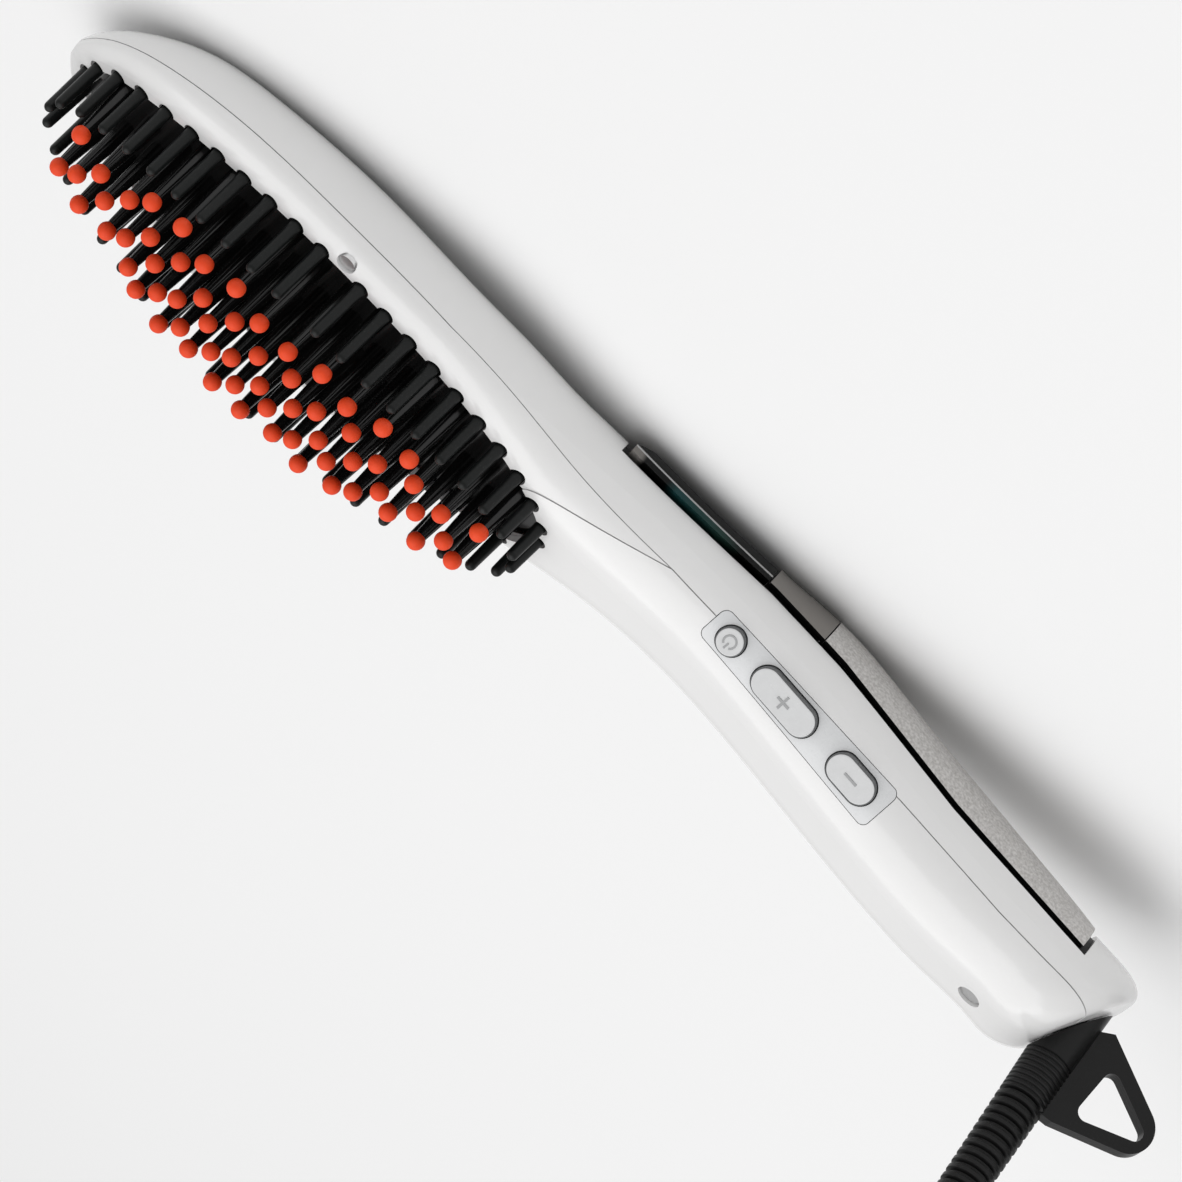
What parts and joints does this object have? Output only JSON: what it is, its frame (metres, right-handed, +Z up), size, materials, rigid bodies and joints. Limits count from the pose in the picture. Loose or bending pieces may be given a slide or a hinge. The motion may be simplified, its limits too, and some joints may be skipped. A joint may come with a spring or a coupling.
{
  "type": "hair straightening brush",
  "caption": "Corded hair straightening brush with an oval head of capped heated pins, a ring of bristles, a display handle and a swivel cord with hang loop.",
  "frame": {"origin": "middle of the bottom of the brush's box as it lies on its back, pins up", "axes": "+X along the brush from the cord end to the head's tip, +Z up, the way the pins point, and -Y on the side of the buttons"},
  "size_m": [0.4358, 0.0919, 0.1308],
  "materials": {
    "white_gloss": "glossy white moulded plastic",
    "grey_satin": "satin light grey plastic",
    "mid_grey": "glossy mid grey plastic",
    "smoked_lens": "glossy smoked plastic",
    "bright_trim": "bright plated line",
    "black_gloss": "glossy black plastic",
    "black_satin": "satin black plastic",
    "black_coat": "glossy black coated metal",
    "black_rubber": "matte black rubber",
    "coral_matte": "matte orange red plastic",
    "pale_grey": "pale grey plastic",
    "button_grey": "off-white plastic",
    "aluminium": "bare aluminium",
    "steel": "bright steel",
    "brass": "bare brass",
    "nickel": "nickel plate",
    "mica_sheet": "matte insulating sheet",
    "board_green": "green board",
    "lead_white": "white insulated wire"
  },
  "bodies": {
    "brush": {"back_shell": "white_gloss", "head_frame": "white_gloss", "handle_cover": "white_gloss", "bristle_ring": "black_satin", "outer_bristles": "black_satin", "heat_plate": "black_coat", "heat_pins": "black_coat", "pin_caps": "coral_matte", "heater_element": "aluminium", "insulation_sheet": "mica_sheet", "heater_clamps": "aluminium", "clamp_screws": "steel", "thermal_fuse": "mica_sheet", "temperature_sensor": "mica_sheet", "head_screws": "steel", "tail_screw": "steel", "back_panel": "grey_satin", "display_trim": "mid_grey", "display_lens": "smoked_lens", "lens_rim": "bright_trim", "display_tray": "black_gloss", "lcd_module": "black_gloss", "panel_gasket": "black_rubber", "button_bezel": "pale_grey", "switch_board": "board_green", "tact_switches": "black_gloss", "control_board": "board_green", "board_screws": "steel", "capacitor": "black_gloss", "triac": "black_gloss", "mains_terminal": "board_green", "heater_leads": "lead_white", "cord_leads": "lead_white", "swivel_retainer": "white_gloss", "spring_contacts": "brass"},
    "power_button": {"power_button": "button_grey"},
    "plus_button": {"plus_button": "button_grey"},
    "minus_button": {"minus_button": "button_grey"},
    "cord_swivel": {"swivel_head": "black_satin", "contact_rings": "brass", "strain_relief": "black_rubber", "power_cord": "black_rubber", "cord_coil": "black_rubber", "coil_tie": "black_satin", "plug_lead": "black_rubber", "plug_body": "black_rubber", "plug_pins": "nickel"}
  },
  "joints": [
    {"name": "power_button_press", "type": "slide", "parent": "brush", "child": "power_button", "axis": [-0.0999, 0.7669, -0.634], "range_m": [0, 0.0006], "stiffness_N_per_m": 800},
    {"name": "plus_button_press", "type": "slide", "parent": "brush", "child": "plus_button", "axis": [-0.0999, 0.7669, -0.634], "range_m": [0, 0.0006], "stiffness_N_per_m": 800},
    {"name": "minus_button_press", "type": "slide", "parent": "brush", "child": "minus_button", "axis": [-0.0999, 0.7669, -0.634], "range_m": [0, 0.0006], "stiffness_N_per_m": 800},
    {"name": "cord_swivel_turn", "type": "hinge", "parent": "brush", "child": "cord_swivel", "pos_m": [-0.12539, 0, 0.03206], "axis": [-0.8533, 0, 0.5215], "continuous": true}
  ]
}
